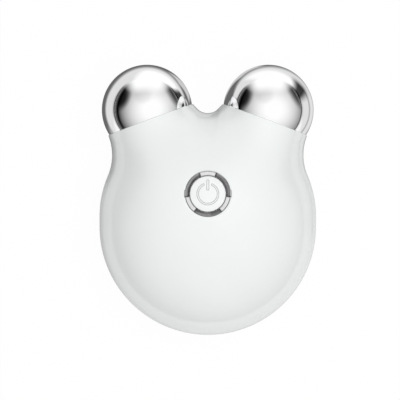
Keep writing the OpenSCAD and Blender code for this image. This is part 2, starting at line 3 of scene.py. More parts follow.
import bpy
import numpy as np
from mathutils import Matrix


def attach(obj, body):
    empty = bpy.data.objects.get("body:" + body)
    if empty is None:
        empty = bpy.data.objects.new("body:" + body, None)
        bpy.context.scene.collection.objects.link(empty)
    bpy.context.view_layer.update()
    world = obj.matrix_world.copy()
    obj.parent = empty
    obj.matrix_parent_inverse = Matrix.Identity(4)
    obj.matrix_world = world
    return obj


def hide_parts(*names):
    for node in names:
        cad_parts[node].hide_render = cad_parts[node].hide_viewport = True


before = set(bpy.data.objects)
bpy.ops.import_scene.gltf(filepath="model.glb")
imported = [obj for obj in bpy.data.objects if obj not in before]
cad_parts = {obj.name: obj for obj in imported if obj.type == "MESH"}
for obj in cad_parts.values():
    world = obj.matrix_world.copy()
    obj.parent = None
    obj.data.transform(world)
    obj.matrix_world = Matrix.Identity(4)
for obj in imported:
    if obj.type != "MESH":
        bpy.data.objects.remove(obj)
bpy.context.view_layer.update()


# ---- Upper case ---------------------------------------------------------------------------------
# The front half of the body, injection moulded in gloss white ABS with a wall of 1.8 mm. It snaps
# onto the back half round the parting line and grips the necks of both balls in its two collars.
BODY_R, SHOULDER_R, SHOULDER_Y, NECK_R, VALLEY_Y = 34.0, 32.0, 3.4, 16.4, 35.7
FRONT_DEPTH, WALL, HORN_MELT, VALLEY_MELT, HORN_REACH = 20.0, 1.8, 260.0, 200.0, 24.0
BALL_R, BALL_Y, COLLAR_GAP, SPLAY, SEAM_DROP, COLLAR_STEP = 14.2, 36.7, 9.2, 20.4, 3.3, 0.4
HORN_U = np.array([math.sin(math.radians(SPLAY)), math.cos(math.radians(SPLAY))])
HORN_N = np.array([HORN_U[1], -HORN_U[0]])
COLLAR_R = math.sqrt(BALL_R**2 - SEAM_DROP**2) + COLLAR_STEP
GAP_HALF = COLLAR_GAP / 2
SEAM_MID = np.array([GAP_HALF + COLLAR_R * HORN_N[0], BALL_Y - SEAM_DROP * HORN_U[1]])
BUTTON_AT = np.array([0.0, 10.3])
COLLAR_BORE, HOLLOW_BACK, EDGE_ROUND, EDGE_HALFWAY = 1.6, 2.4, 0.16, 0.046
RING_R, RING_TOP, RING_FOOT, SEAT_FOOT, BOSS_R = 7.1, 19.7, 17.2, 15.4, 9.05
RING_SEAT, SEAT_BORE, KEY_SEAT, KEY_HALF, SEAT_EDGE = 7.15, 6.4, 7.35, 1.25, 0.1
SLOT_R, SLOT_HALF, WINDOW_PITCH, FIRST_WINDOW = 6.93, 23.0, 120.0, 90.0
REST_Z = 21.0
LIFT = np.array([0.0, -(BALL_Y + BALL_R - BODY_R) / 2, REST_Z])
SHARP_EDGE = math.radians(35)


def in_frame(points):
    """Millimetres about the body's centre, on the parting plane, to metres in the frame:
    (p + lift) / 1000."""
    return (np.asarray(points, float) + LIFT) * 0.001


def meeting(a, ra, b, rb):
    """Where circles of radius ra about a and rb about b, d apart, meet: from a towards b by
    s = (ra^2 - rb^2 + d^2) / 2d, then across that way by the root of ra^2 - s^2."""
    d = b - a
    length = np.hypot(*d)
    s = (ra * ra - rb * rb + length * length) / (2 * length)
    return a + d * s / length + np.array([d[1], -d[0]]) * math.sqrt(ra * ra - s * s) / length


SHOULDER_AT = np.array([BODY_R - SHOULDER_R, SHOULDER_Y])
NECK_AT = meeting(SHOULDER_AT, SHOULDER_R + NECK_R, SEAM_MID + COLLAR_R * HORN_N, NECK_R)
TURN = math.atan2(NECK_AT[1] - SHOULDER_AT[1], NECK_AT[0] - SHOULDER_AT[0])
VALLEY_AT = np.array([0.0, VALLEY_Y + GAP_HALF])


def arc(centre, radius, start, end, steps):
    """centre + radius (cos a, sin a), for steps angles a from start, without the one at end."""
    a = start + (end - start) * np.arange(steps) / steps
    return np.stack([centre[0] + radius * np.cos(a), centre[1] + radius * np.sin(a), 0 * a], 1)


def case_outline(inset=0.0, back=0.0, fine=4):
    """The body seen from above, drawn in by inset: tangent arcs up one side, the half circle of the
    collar set back along its horn, whose third value is its height, then the valley; and all mirrored."""
    r = COLLAR_R - inset
    a = np.pi * np.arange(16 * fine + 1) / (16 * fine)
    end = (SEAM_MID - back * HORN_U)[None] + r * np.cos(a)[:, None] * HORN_N
    collar = np.column_stack([end, r * np.sin(a)])
    side, tip = collar[0, :2] - NECK_AT, collar[-1, :2] - VALLEY_AT
    valley_r = GAP_HALF + inset
    first = math.atan2(tip[1], tip[0]) - math.acos(min(1.0, valley_r / np.hypot(*tip)))
    half = np.concatenate([
        arc((0, 0), BODY_R - inset, -np.pi / 2, 0, 14 * fine),
        arc(SHOULDER_AT, SHOULDER_R - inset, 0, TURN, 4 * fine),
        arc(NECK_AT, NECK_R + inset, TURN + np.pi, math.atan2(side[1], side[0]) % (2 * np.pi), 7 * fine),
        collar,
        arc(VALLEY_AT, valley_r, first, -np.pi / 2, 5 * fine),
        [[0.0, VALLEY_AT[1] - valley_r, 0.0]]])
    return np.concatenate([half, half[-2:0:-1] * [-1, 1, 1]])


def melt(a, b, width):
    """The larger of a and b, with a soft rise where they are close: (reach - |a - b|)^3 / (6 reach^2)."""
    reach = 1.5 * width
    return np.maximum(a, b) + np.maximum(reach - np.abs(a - b), 0) ** 3 / (6 * reach * reach)


def skin_height_squared(p, inset, depth):
    """Two round horns melted into each other and into the dome, as squared heights over the points p.
    A horn is r^2 - across^2 - beyond^2, and the dome is an ellipse along each ray from the button."""
    horns = []
    for side in (1, -1):
        q = p * [side, 1] - SEAM_MID
        beyond = np.minimum(q @ HORN_U + HORN_REACH, 0)
        horns.append((COLLAR_R - inset) ** 2 - (q @ HORN_N) ** 2 - beyond**2)
    r, mid = BODY_R - inset, (VALLEY_Y - BODY_R) / 2
    stretch = r / ((VALLEY_Y + BODY_R) / 2 - inset)
    a = np.array([0.0, (BUTTON_AT[1] - mid) * stretch])
    v = np.stack([p[..., 0], (p[..., 1] - mid) * stretch], -1) - a
    length = np.maximum(np.linalg.norm(v, axis=-1), 1e-9)
    s = v @ a / length
    ray = np.sqrt(s * s + r * r - a @ a) - s
    return melt(melt(horns[0], horns[1], VALLEY_MELT), depth**2 * (1 - (length / ray) ** 2), HORN_MELT)


def skin_rows(rim, rim_z, start, inset, depth, rings):
    """Rows of the skin from share start of each ray, button to rim, out to the rim. Its height is the
    root of the squared height less share^4 of what is left over at the rim."""
    first = np.arcsin(np.clip(start, 0, 1))
    share = np.sin(first + (np.pi / 2 - first) * (np.arange(rings + 1) / rings)[:, None])
    p = BUTTON_AT + share[..., None] * (rim[None, :, :2] - BUTTON_AT)
    left = skin_height_squared(rim[:, :2], inset, depth) - rim_z**2
    z = np.sqrt(np.maximum(skin_height_squared(p, inset, depth) - share**4 * left, 0))
    z[-1] = rim_z
    return np.concatenate([p, z[..., None]], -1)


def edge_row(inset, back):
    """The rim drawn in by inset for its rounded edge, which rises by back on the parting plane and
    lies back by it along the horn at a collar."""
    rim = case_outline(inset, back)
    return np.column_stack([rim[:, :2], np.where(rim[:, 2] > back, rim[:, 2], back)])


def surface(name, grid, wrap_rows=False, poles=(), turned=False):
    """A mesh from a grid of points, closed round its columns, with its rows closed or ended in poles.
    A face's normal is the way along the rows crossed with the way along the columns, or turned over."""
    m, n = grid.shape[:2]
    i, j = np.meshgrid(np.arange(m if wrap_rows else m - 1), np.arange(n), indexing="ij")
    up, on = (i + 1) % m, (j + 1) % n
    faces = np.stack([i * n + j, up * n + j, up * n + on, i * n + on], -1).reshape(-1, 4)
    points, loops, sizes = grid.reshape(-1, 3), [], []
    if poles:
        k = np.arange(n)
        points = np.concatenate([points, np.asarray(poles, float)])
        fans = [np.stack([0 * k + m * n, k, (k + 1) % n], 1)]
        if len(poles) > 1:
            fans.append(np.stack([0 * k + m * n + 1, (m - 1) * n + (k + 1) % n, (m - 1) * n + k], 1))
        fans = np.concatenate(fans)
        loops, sizes = [(fans[:, ::-1] if turned else fans).ravel()], [np.full(len(fans), 3)]
    loops = np.concatenate([(faces[:, ::-1] if turned else faces).ravel()] + loops)
    sizes = np.concatenate([np.full(len(faces), 4)] + sizes)
    mesh = bpy.data.meshes.new(name)
    mesh.vertices.add(len(points))
    mesh.vertices.foreach_set("co", in_frame(points).astype(np.float32).ravel())
    mesh.loops.add(len(loops))
    mesh.loops.foreach_set("vertex_index", loops.astype(np.int32))
    mesh.polygons.add(len(sizes))
    mesh.polygons.foreach_set("loop_start", np.concatenate([[0], np.cumsum(sizes)[:-1]]).astype(np.int32))
    mesh.update(calc_edges=True)
    mesh.validate()
    mesh.polygons.foreach_set("use_smooth", np.ones(len(mesh.polygons), bool))
    mesh.set_sharp_from_angle(angle=SHARP_EDGE)
    piece = bpy.data.objects.new(name, mesh)
    bpy.context.scene.collection.objects.link(piece)
    return piece


class Signal:
    """One output of a node. Python's operators on it, with numbers or other outputs, add Math nodes."""

    def __init__(self, finish, socket):
        self.finish, self.socket = finish, socket

    def do(self, operation, *others, clamp=False):
        """One Math node of that operation, on this output and the others."""
        settings = {"operation": operation, "use_clamp": clamp}
        return self.finish.node("ShaderNodeMath", settings, dict(enumerate((self, *others))))

    def __add__(self, other):
        return self.do("ADD", other)

    def __sub__(self, other):
        return self.do("SUBTRACT", other)

    def __rsub__(self, other):
        return self.do("MULTIPLY", -1.0).do("ADD", other)

    def __mul__(self, other):
        return self.do("MULTIPLY", other)

    def __truediv__(self, other):
        return self.do("DIVIDE", other)

    def __pow__(self, other):
        return self.do("POWER", other)

    def __abs__(self):
        return self.do("ABSOLUTE")

    def __gt__(self, other):
        return self.do("GREATER_THAN", other)

    def __lt__(self, other):
        return self.do("LESS_THAN", other)

    __radd__, __rmul__ = __add__, __mul__

    def ramp(self, low, high):
        """0 below low and 1 above high, smooth between. Falls instead if low is above high."""
        t = ((self - low) / (high - low)).do("ADD", 0.0, clamp=True)
        return t * t * (3.0 - 2.0 * t)


class Nodes:
    """A node tree that is added to one node at a time."""

    def __init__(self, tree):
        self.tree = tree

    def node(self, kind, settings=None, inputs=None, out=0):
        """One node of that type: its settings first, then its sockets' values or links. Gives the output."""
        made = self.tree.nodes.new(kind)
        for key, value in (settings or {}).items():
            setattr(made, key, value)
        for key, value in (inputs or {}).items():
            if isinstance(value, Signal):
                self.tree.links.new(value.socket, made.inputs[key])
            else:
                made.inputs[key].default_value = value
        return Signal(self, made.outputs[out])


class Finish(Nodes):
    """A named node material with one Principled shader, built from the object's own coordinates."""

    def __init__(self, name, **constants):
        self.material = bpy.data.materials.new(name)
        self.material.use_nodes = True
        super().__init__(self.material.node_tree)
        self.shader = self.tree.nodes["Principled BSDF"]
        for socket, value in constants.items():
            self.shader.inputs[socket.replace("_", " ")].default_value = value
        self.place = self.node("ShaderNodeTexCoord", out="Object")

    def axis(self, name, about=0.0):
        """One coordinate of the object, in millimetres from about, which is in body coordinates."""
        split = self.node("ShaderNodeSeparateXYZ", None, {0: self.place}, "XYZ".index(name))
        return split * 1000.0 - float(about + LIFT["XYZ".index(name)])

    def noise(self, scale, detail=3.0, rough=0.55, stretch=(1, 1, 1)):
        """Noise with that many cells a metre, from 0 to 1 about 0.5, drawn out where stretch is small."""
        at = self.node("ShaderNodeMapping", None, {"Vector": self.place, "Scale": stretch})
        inputs = {"Vector": at, "Scale": scale, "Detail": detail, "Roughness": rough}
        return self.node("ShaderNodeTexNoise", None, inputs)

    def colour(self, amount, a, b):
        """Colour a where amount is 0, b where it is 1. Either may be a colour output."""
        a, b = (c if isinstance(c, Signal) else (*c, 1.0) for c in (a, b))
        return self.node("ShaderNodeMix", {"data_type": "RGBA"}, {0: amount, 6: a, 7: b}, 2)

    def bump(self, height, depth):
        """Normal of a relief of that depth in metres."""
        return self.node("ShaderNodeBump", None, {"Height": height, "Distance": depth, "Strength": 1.0})

    def wear(self, **links):
        """Joins outputs to the Principled shader's sockets."""
        for socket, signal in links.items():
            self.tree.links.new(signal.socket, self.shader.inputs[socket.replace("_", " ")])
        return self.material


def gloss_shell(name, tint):
    """Moulded gloss ABS: faint flow clouds in the white, a very fine orange peel and a few dull spots."""
    f = Finish(name, IOR=1.5, Coat_Weight=1.0, Coat_Roughness=0.06)
    clouds, peel, dull = f.noise(45, 3), f.noise(850, 2), f.noise(130, 4)
    thin = tuple(c * 0.985 for c in tint)
    return f.wear(
        Base_Color=f.colour(clouds.ramp(0.35, 0.65), thin, tint),
        Roughness=0.17 + 0.08 * dull.ramp(0.45, 0.75),
        Normal=f.bump(peel, 0.0000035))


BODY_WHITE = (0.785, 0.81, 0.80)
body_white = gloss_shell("moulded_gloss_white", BODY_WHITE)
outer_rim = edge_row(0.0, EDGE_ROUND)
inner_rim = case_outline(WALL, HOLLOW_BACK)
edge_rows = [edge_row(EDGE_HALFWAY, EDGE_HALFWAY), edge_row(EDGE_ROUND, 0.0),
             case_outline(COLLAR_BORE, 0.0), case_outline(COLLAR_BORE, HOLLOW_BACK)]


def about_button(radius, z, like):
    """Points at that radius round the button, on the rays to the rim points like."""
    away = like[:, :2] - BUTTON_AT
    away = away / np.linalg.norm(away, axis=1)[:, None]
    radius = np.broadcast_to(np.asarray(radius, float), (len(like),))
    return np.column_stack([BUTTON_AT + radius[:, None] * away, np.broadcast_to(z, (len(like),))])


reach = np.linalg.norm(outer_rim[:, :2] - BUTTON_AT, axis=1)
height = (outer_rim[:, 1] - BUTTON_AT[1]) / reach
seat = np.where(np.abs(height) * KEY_SEAT < KEY_HALF, KEY_SEAT, RING_SEAT)
front_skin = skin_rows(outer_rim, outer_rim[:, 2], (seat + SEAT_EDGE) / reach, 0.0, FRONT_DEPTH, rings=64)
lip_z = front_skin[0, :, 2]
around = np.degrees(np.arctan2(height, outer_rim[:, 0] / reach))
from_window = np.abs((around - FIRST_WINDOW + WINDOW_PITCH / 2) % WINDOW_PITCH - WINDOW_PITCH / 2)
bore = np.where(from_window < SLOT_HALF, SLOT_R, SEAT_BORE)
mouth = [about_button(bore, SEAT_FOOT, outer_rim),
         about_button(bore, RING_FOOT, outer_rim),
         about_button(seat, RING_FOOT, outer_rim),
         about_button(seat, lip_z - SEAT_EDGE, outer_rim),
         about_button(seat + 0.3 * SEAT_EDGE, lip_z - 0.3 * SEAT_EDGE, outer_rim)]
inner_reach = np.linalg.norm(inner_rim[:, :2] - BUTTON_AT, axis=1)
inner_skin = skin_rows(inner_rim, inner_rim[:, 2], BOSS_R / inner_reach, WALL, FRONT_DEPTH - WALL, rings=28)
front_rows = np.concatenate([
    mouth, front_skin, edge_rows, inner_skin[::-1], [about_button(BOSS_R, SEAT_FOOT, inner_rim)]])
front_case = surface("front_case", front_rows, wrap_rows=True)
front_case.data.materials.append(body_white)
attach(front_case, "housing")
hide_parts("front_shell")


# ---- Lower case ---------------------------------------------------------------------------------
# The back half, moulded in the same gloss white ABS. Its dome is cut flat where the device rests,
# and the mouth for the charging lead's plug goes through its wall at the lower end.
BACK_DEPTH, FLAT_ROUND, PAST_FLAT = 22.3, 0.02, 0.012
SOCKET_W, SOCKET_H, SOCKET_Z, SOCKET_PLAY, MOUTH_FROM, MOUTH_TO = 8.94, 3.26, -3.23, 0.2, -30.2, -40.0


def flat_share(rim, rim_z, inset, depth, level):
    """Share of each ray at which the skin passes the level, found by halving the way forty times."""
    left = skin_height_squared(rim[:, :2], inset, depth) - rim_z**2
    low, high = np.zeros(len(rim)), np.ones(len(rim))
    for _ in range(40):
        mid = (low + high) / 2
        p = BUTTON_AT + mid[:, None] * (rim[:, :2] - BUTTON_AT)
        above = skin_height_squared(p, inset, depth) - mid**4 * left > level**2
        low, high = np.where(above, mid, low), np.where(above, high, mid)
    return low


def back_half(rim, inset, depth, level, rings):
    """Rows of a half from the middle of its flat to its rim, with the flat's edge slightly rounded:
    rays from the button to the edge at three shares, then the edge, then the skin past it."""
    edge = flat_share(rim, rim[:, 2], inset, depth, level)
    rays = edge[:, None] * (rim[:, :2] - BUTTON_AT)
    flat = [np.column_stack([BUTTON_AT + k * rays, np.full(len(rim), level)]) for k in (0.3, 0.65, 0.97)]
    rounding = np.column_stack([BUTTON_AT + rays, np.full(len(rim), level - FLAT_ROUND)])
    skin = skin_rows(rim, rim[:, 2], edge + PAST_FLAT, inset, depth, rings)
    return np.concatenate([flat, [rounding], skin])


back_rows = [1, 1, -1] * np.concatenate([
    back_half(outer_rim, 0.0, BACK_DEPTH, REST_Z, rings=60), edge_rows,
    back_half(inner_rim, WALL, BACK_DEPTH - WALL, REST_Z - WALL, rings=28)[::-1]])
poles = [[*BUTTON_AT, -REST_Z], [*BUTTON_AT, WALL - REST_Z]]
back_case = surface("back_case", back_rows, poles=poles, turned=True)


def stadium(width, height, steps=16):
    """Counter-clockwise bar with round ends, in its own plane: two half circles, a straight length apart."""
    a = np.pi * np.arange(steps + 1) / steps - np.pi / 2
    end = np.stack([(width - height) / 2 + height / 2 * np.cos(a), height / 2 * np.sin(a)], 1)
    return np.concatenate([end, -end])


plug_mouth = stadium(SOCKET_W + 2 * SOCKET_PLAY, SOCKET_H + 2 * SOCKET_PLAY)
cut = np.stack([np.insert(plug_mouth + [0, SOCKET_Z], 1, y, axis=1) for y in (MOUTH_FROM, MOUTH_TO)])
cut_ends = [[0, MOUTH_FROM, SOCKET_Z], [0, MOUTH_TO, SOCKET_Z]]
cutter = surface("plug_mouth_cut", cut, poles=cut_ends, turned=True)
opening = back_case.modifiers.new("plug mouth", "BOOLEAN")
opening.operation, opening.solver, opening.object = "DIFFERENCE", "EXACT", cutter
bpy.context.view_layer.update()
ready = back_case.evaluated_get(bpy.context.evaluated_depsgraph_get())
cut_mesh = bpy.data.meshes.new_from_object(ready)
back_case.modifiers.clear()
back_case.data = cut_mesh
bpy.data.objects.remove(cutter)
cut_mesh.set_sharp_from_angle(angle=SHARP_EDGE)
cut_mesh.materials.clear()
cut_mesh.materials.append(body_white)
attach(back_case, "housing")
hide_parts("back_shell")


# ---- Ball electrodes ----------------------------------------------------------------------------
# Hollow balls moulded in ABS and plated with bright chrome, so that the whole skin conducts. A flanged
# neck with a groove for the seal is gripped by the collars, and a boss in it takes the contact screw.
BALL_WALL, BALL_NECK_R, FLANGE_R, GROOVE_R, CONTACT_BOSS_R, SCREW_BORE = 1.5, 12.51, 12.91, 11.76, 3.0, 0.95
FLANGE_FROM, GROOVE_FROM, GROOVE_TO, FLOOR_AT, FLANGE_END, CONTACT_END = -1.5, -2.1, -3.5, -2.8, -4.2, -5.7
TIP_ANGLE, HOLLOW_TIP_ANGLE = 0.012, 0.03


def arc_profile(radius, middle, first, last, steps):
    """Radius and height along a circle about the axis point middle, angles measured from the axis."""
    a = np.linspace(first, last, steps + 1)
    return np.stack([radius * np.sin(a), middle + radius * np.cos(a)], 1)


def round_horn(profile, side, sectors=192):
    """Carries a profile of radii and heights round the axis of the horn on that side, seam at zero."""
    a = 2 * np.pi * np.arange(sectors) / sectors
    across, up = np.cos(a), np.sin(a)
    r, h = profile[:, 0, None], profile[:, 1, None]
    flat = SEAM_MID + (r * across)[..., None] * HORN_N + (h + 0 * r * across)[..., None] * HORN_U
    grid = np.concatenate([flat, (r * up)[..., None]], -1)
    return grid * [side, 1, 1]


def plating():
    """Bright chrome: buffing swirls in the roughness, faint clouds in the colour and a trace of relief."""
    f = Finish("ball_chrome_plating", Metallic=1.0)
    swirl, clouds = f.noise(420, 5, 0.6, (1, 0.35, 1)), f.noise(55, 2)
    return f.wear(
        Base_Color=f.colour(clouds.ramp(0.4, 0.7), (0.93, 0.93, 0.935), (0.90, 0.905, 0.91)),
        Roughness=0.03 + 0.05 * swirl.ramp(0.5, 0.8),
        Normal=f.bump(swirl, 0.0000004))


ball_plating = plating()
seam_angle = math.pi - math.acos(SEAM_DROP / BALL_R)
inner_end = math.acos((SEAM_DROP / 2 - SEAM_DROP) / (BALL_R - BALL_WALL))
ball_profile = np.concatenate([
    arc_profile(BALL_R, SEAM_DROP, TIP_ANGLE, seam_angle, 110),
    [[BALL_NECK_R, 0.0], [BALL_NECK_R, FLANGE_FROM], [FLANGE_R, FLANGE_FROM], [FLANGE_R, GROOVE_FROM],
     [GROOVE_R, GROOVE_FROM], [GROOVE_R, GROOVE_TO], [FLANGE_R, GROOVE_TO], [FLANGE_R, FLANGE_END],
     [CONTACT_BOSS_R, FLANGE_END], [CONTACT_BOSS_R, CONTACT_END], [SCREW_BORE, CONTACT_END],
     [SCREW_BORE, FLOOR_AT], [BALL_NECK_R - BALL_WALL, FLOOR_AT], [BALL_NECK_R - BALL_WALL, SEAM_DROP / 2]],
    arc_profile(BALL_R - BALL_WALL, SEAM_DROP, inner_end, HOLLOW_TIP_ANGLE, 30)])
for side, which in ((1, "right"), (-1, "left")):
    tip_heights = (SEAM_DROP + BALL_R, SEAM_DROP + BALL_R - BALL_WALL)
    tips = [[*(SEAM_MID + h * HORN_U) * [side, 1], 0.0] for h in tip_heights]
    ball = surface(which + "_ball", round_horn(ball_profile, side), poles=tips, turned=side > 0)
    ball.data.materials.append(ball_plating)
    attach(ball, "housing")
    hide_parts(which + "_electrode")


# ---- Button ring --------------------------------------------------------------------------------
# A zinc die casting with smoked chrome plating, pressed into its seat in the front, where two keys
# stop it turning. Three dished bridges cross it, and it is open between them for the light windows.
RING_HOLE, WINDOW_IN, WINDOW_OUT, CHAMFER, WINDOW_HALF, DISH = 5.7, 5.9, 6.9, 0.12, 21.5, 0.2
KEY_R, KEY_W, EASED = 7.3, 1.2, 0.04


def ring_columns():
    """Angles round the ring, with each window's ends twice, and 1 for each column that is on a bridge:
    equal steps over a window's span, then equal steps over the bridge after it."""
    angles, bridge = [], []
    for k in range(3):
        middle = FIRST_WINDOW + WINDOW_PITCH * k
        angles += [np.linspace(middle - WINDOW_HALF, middle + WINDOW_HALF, 25)]
        angles += [np.linspace(middle + WINDOW_HALF, middle + WINDOW_PITCH - WINDOW_HALF, 41)]
        bridge += [np.zeros(25), np.ones(41)]
    return np.radians(np.concatenate(angles)), np.concatenate(bridge)


turn, bridge = ring_columns()
wide = np.where(np.abs(np.sin(turn)) * KEY_R < KEY_W, KEY_R, RING_R)
rim_r = RING_R - CHAMFER
across = np.linspace(0, 1, 13)
dished_r = WINDOW_IN + across * (WINDOW_OUT - WINDOW_IN)
dished = np.stack([dished_r, RING_TOP - 4 * DISH * across * (1 - across)], 1)
inside = [[RING_HOLE, RING_FOOT], [RING_HOLE, RING_TOP - EASED], [RING_HOLE + EASED, RING_TOP],
          [WINDOW_IN - EASED / 2, RING_TOP]]
outside = [[rim_r - EASED, RING_TOP], [rim_r + EASED / 2, RING_TOP - 0.75 * EASED]]
profile = np.concatenate([inside, dished, outside])
in_window = np.isin(np.arange(len(profile)), len(inside) + np.arange(len(dished)))[:, None] & (bridge == 0)
ring_r = np.concatenate([profile[:, :1] + 0 * turn, [wide, wide]])
ring_z = np.concatenate([np.where(in_window, RING_FOOT, profile[:, 1:]),
                         [0 * turn + RING_TOP - CHAMFER, 0 * turn + RING_FOOT]])
ring_x, ring_y = BUTTON_AT[0] + ring_r * np.cos(turn), BUTTON_AT[1] + ring_r * np.sin(turn)
ring = surface("bright_ring", np.stack([ring_x, ring_y, ring_z], -1), wrap_rows=True)


def smoked():
    """Smoked coating over bright plating, with painted shade and reflection in its colour: lighter towards
    the outer rim, less so on the lowest bridge, and painted shadows where a bridge meets a window. The
    coating is wiped off the rims beside the windows."""
    f = Finish("smoked_chrome_painted_shade", Metallic=1.0)
    swirl, clouds = f.noise(900, 5, 0.6), f.noise(260, 3)
    x, y = f.axis("X", BUTTON_AT[0]), f.axis("Y", BUTTON_AT[1])
    r = (x * x + y * y) ** 0.5
    angle = y.do("ARCTAN2", x) * (180 / math.pi) + (360.0 - FIRST_WINDOW + WINDOW_PITCH / 2)
    off = abs(angle.do("MODULO", WINDOW_PITCH) - WINDOW_PITCH / 2)
    # Painted shade and reflection: lighter towards the outer rim, with the lowest bridge kept darker.
    thin = r.ramp(6.2, 7.05) * (0.35 + 0.65 * y.ramp(-5.4, -3.6))
    lacquer_and_painted_shade = f.colour(thin, (0.13, 0.13, 0.135), (0.48, 0.48, 0.485))
    lacquer_and_painted_shade = f.colour(0.5 * clouds.ramp(0.45, 0.7), lacquer_and_painted_shade, (0.36, 0.36, 0.365))
    # Painted shadows where each bridge meets a window.
    lacquer_and_painted_shade = f.colour(0.7 * off.ramp(WINDOW_HALF + 5, WINDOW_HALF + 2), lacquer_and_painted_shade, (0.05, 0.05, 0.052))
    return f.wear(
        Base_Color=f.colour(off < WINDOW_HALF + 0.3, lacquer_and_painted_shade, (0.60, 0.60, 0.605)),
        Roughness=0.12 + 0.06 * swirl.ramp(0.5, 0.8),
        Normal=f.bump(swirl, 0.0000006))


ring.data.materials.append(smoked())
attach(ring, "housing")
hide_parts("button_ring")


# ---- Light windows ------------------------------------------------------------------------------
# One moulding in frosted polycarbonate: a plate under the ring with three curved prisms that fill its
# windows and three legs that reach down to the lamps on the board. The part's own solid is kept.
def frosted():
    """Eroded polycarbonate: milky, even, with a fine grain that scatters the gloss."""
    f = Finish("frosted_window", IOR=1.58, Specular_IOR_Level=0.5)
    grain, clouds = f.noise(3200, 2), f.noise(240, 3)
    return f.wear(
        Base_Color=f.colour(clouds.ramp(0.35, 0.7), (0.64, 0.64, 0.64), (0.71, 0.70, 0.705)),
        Roughness=0.38 + 0.15 * grain,
        Normal=f.bump(grain, 0.000004))


def coat_node(node, material):
    """Gives a CAD node that is kept its material."""
    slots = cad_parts[node].data.materials
    slots.clear()
    slots.append(material)


coat_node("light_guide", frosted())


# ---- Power button -------------------------------------------------------------------------------
# A cap of gloss white ABS with a slight crown and a rounded rim, which slides in the ring. A lip under
# each bridge of the ring holds it in and stops it turning, and its stem presses the switch's plunger.
BUTTON_R, BUTTON_TOP, CROWN, RIM_ROUND, CAP_WALL, STEM_R, STEM_FOOT = 5.55, 19.6, 0.25, 0.15, 1.4, 1.9, 8.55
LIP_R, LIP_ROOT, LIP_Z, LIP_H, LIP_SPAN, FIRST_RING = 6.2, 0.3, 16.4, 0.7, 71.0, 0.4
CROWN_R = (BUTTON_R**2 + CROWN**2) / (2 * CROWN)


def crown_z(r):
    """Height of the cap's crown at radius r: the top less the sagitta of its sphere."""
    return BUTTON_TOP - (CROWN_R - np.sqrt(CROWN_R**2 - r * r))


def round_button(profile, sectors=144):
    """Carries a profile of radii and heights round the button's axis."""
    a = 2 * np.pi * np.arange(sectors) / sectors
    r, z = profile[:, 0, None], profile[:, 1, None]
    return np.stack([BUTTON_AT[0] + r * np.cos(a), BUTTON_AT[1] + r * np.sin(a), z + 0 * r * a], -1)


crown_r = np.linspace(FIRST_RING, BUTTON_R - RIM_ROUND, 22)
turn_over = np.linspace(0, np.pi / 2, 10)[1:]
rim_z = crown_z(BUTTON_R - RIM_ROUND) - RIM_ROUND
cap_profile = np.concatenate([
    np.stack([crown_r, crown_z(crown_r)], 1),
    [BUTTON_R - RIM_ROUND, rim_z] + RIM_ROUND * np.stack([np.sin(turn_over), np.cos(turn_over)], 1),
    [[BUTTON_R, LIP_Z], [BUTTON_R - CAP_WALL, LIP_Z], [BUTTON_R - CAP_WALL, BUTTON_TOP - CAP_WALL],
     [STEM_R, BUTTON_TOP - CAP_WALL], [STEM_R, STEM_FOOT], [FIRST_RING, STEM_FOOT]]])
cap_ends = [[*BUTTON_AT, BUTTON_TOP], [*BUTTON_AT, STEM_FOOT]]
cap = surface("button_cap", round_button(cap_profile), poles=cap_ends)
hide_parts("power_button")


def lip(name, middle):
    """A curved bar that stands out of the cap's skirt: its oblong section carried along an arc."""
    a = np.radians(middle + np.linspace(-LIP_SPAN / 2, LIP_SPAN / 2, 41))[:, None]
    r = np.array([BUTTON_R - LIP_ROOT, LIP_R, LIP_R, BUTTON_R - LIP_ROOT])
    z = np.array([LIP_Z, LIP_Z, LIP_Z + LIP_H, LIP_Z + LIP_H])
    grid = np.stack([BUTTON_AT[0] + r * np.cos(a), BUTTON_AT[1] + r * np.sin(a), z + 0 * a], -1)
    return surface(name, grid, poles=[grid[0].mean(0), grid[-1].mean(0)], turned=True)


cap_white = gloss_shell("button_gloss_white", (0.80, 0.815, 0.81))
first_bridge = FIRST_WINDOW + WINDOW_PITCH / 2
for part in [cap] + [lip("cap_lip_%d" % k, first_bridge + WINDOW_PITCH * k) for k in range(3)]:
    part.data.materials.append(cap_white)
    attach(part, "button")


# ---- Power symbol -------------------------------------------------------------------------------
# The symbol's stroke is left white between two fine grey lines, raised a little on the cap's crown.
ARC_IN, ARC_OUT, ARC_OPEN, LINE_W, LINE_H = 2.90, 3.42, 21.0, 0.19, 0.02
BAR_HALF, BAR_LOW, BAR_HIGH = 0.32, 1.18, 4.34


def closed_line(path):
    """A low half-round bead along a closed path in the cap's plane: at each point the profile
    (width cos a, height sin a) stands across the path's direction, on the crown."""
    ahead = np.roll(path, -1, 0) - np.roll(path, 1, 0)
    ahead = ahead / np.linalg.norm(ahead, axis=1)[:, None]
    across = np.stack([ahead[:, 1], -ahead[:, 0]], 1)
    a = np.linspace(np.pi, 2 * np.pi, 7)
    a = np.concatenate([a, np.linspace(0, np.pi, 7)[1:-1]])
    p = path[None] + (LINE_W / 2 * np.cos(a))[:, None, None] * across[None]
    z = crown_z(np.linalg.norm(p, axis=-1)) + (LINE_H * np.sin(a))[:, None]
    return np.concatenate([p + BUTTON_AT, z[..., None]], -1)


gap = math.radians(ARC_OPEN)
sweep = np.linspace(np.pi / 2 + gap, 5 * np.pi / 2 - gap, 90)
unit_arc = np.stack([np.cos(sweep), np.sin(sweep)], 1)
stroke = np.concatenate([ARC_OUT * unit_arc, ARC_IN * unit_arc[::-1]])
corners = np.array([[-BAR_HALF, BAR_LOW], [BAR_HALF, BAR_LOW], [BAR_HALF, BAR_HIGH], [-BAR_HALF, BAR_HIGH]])
sides = np.roll(corners, -1, 0) - corners
bar = (corners[:, None] + np.linspace(0, 1, 8)[:-1, None] * sides[:, None]).reshape(-1, 2)


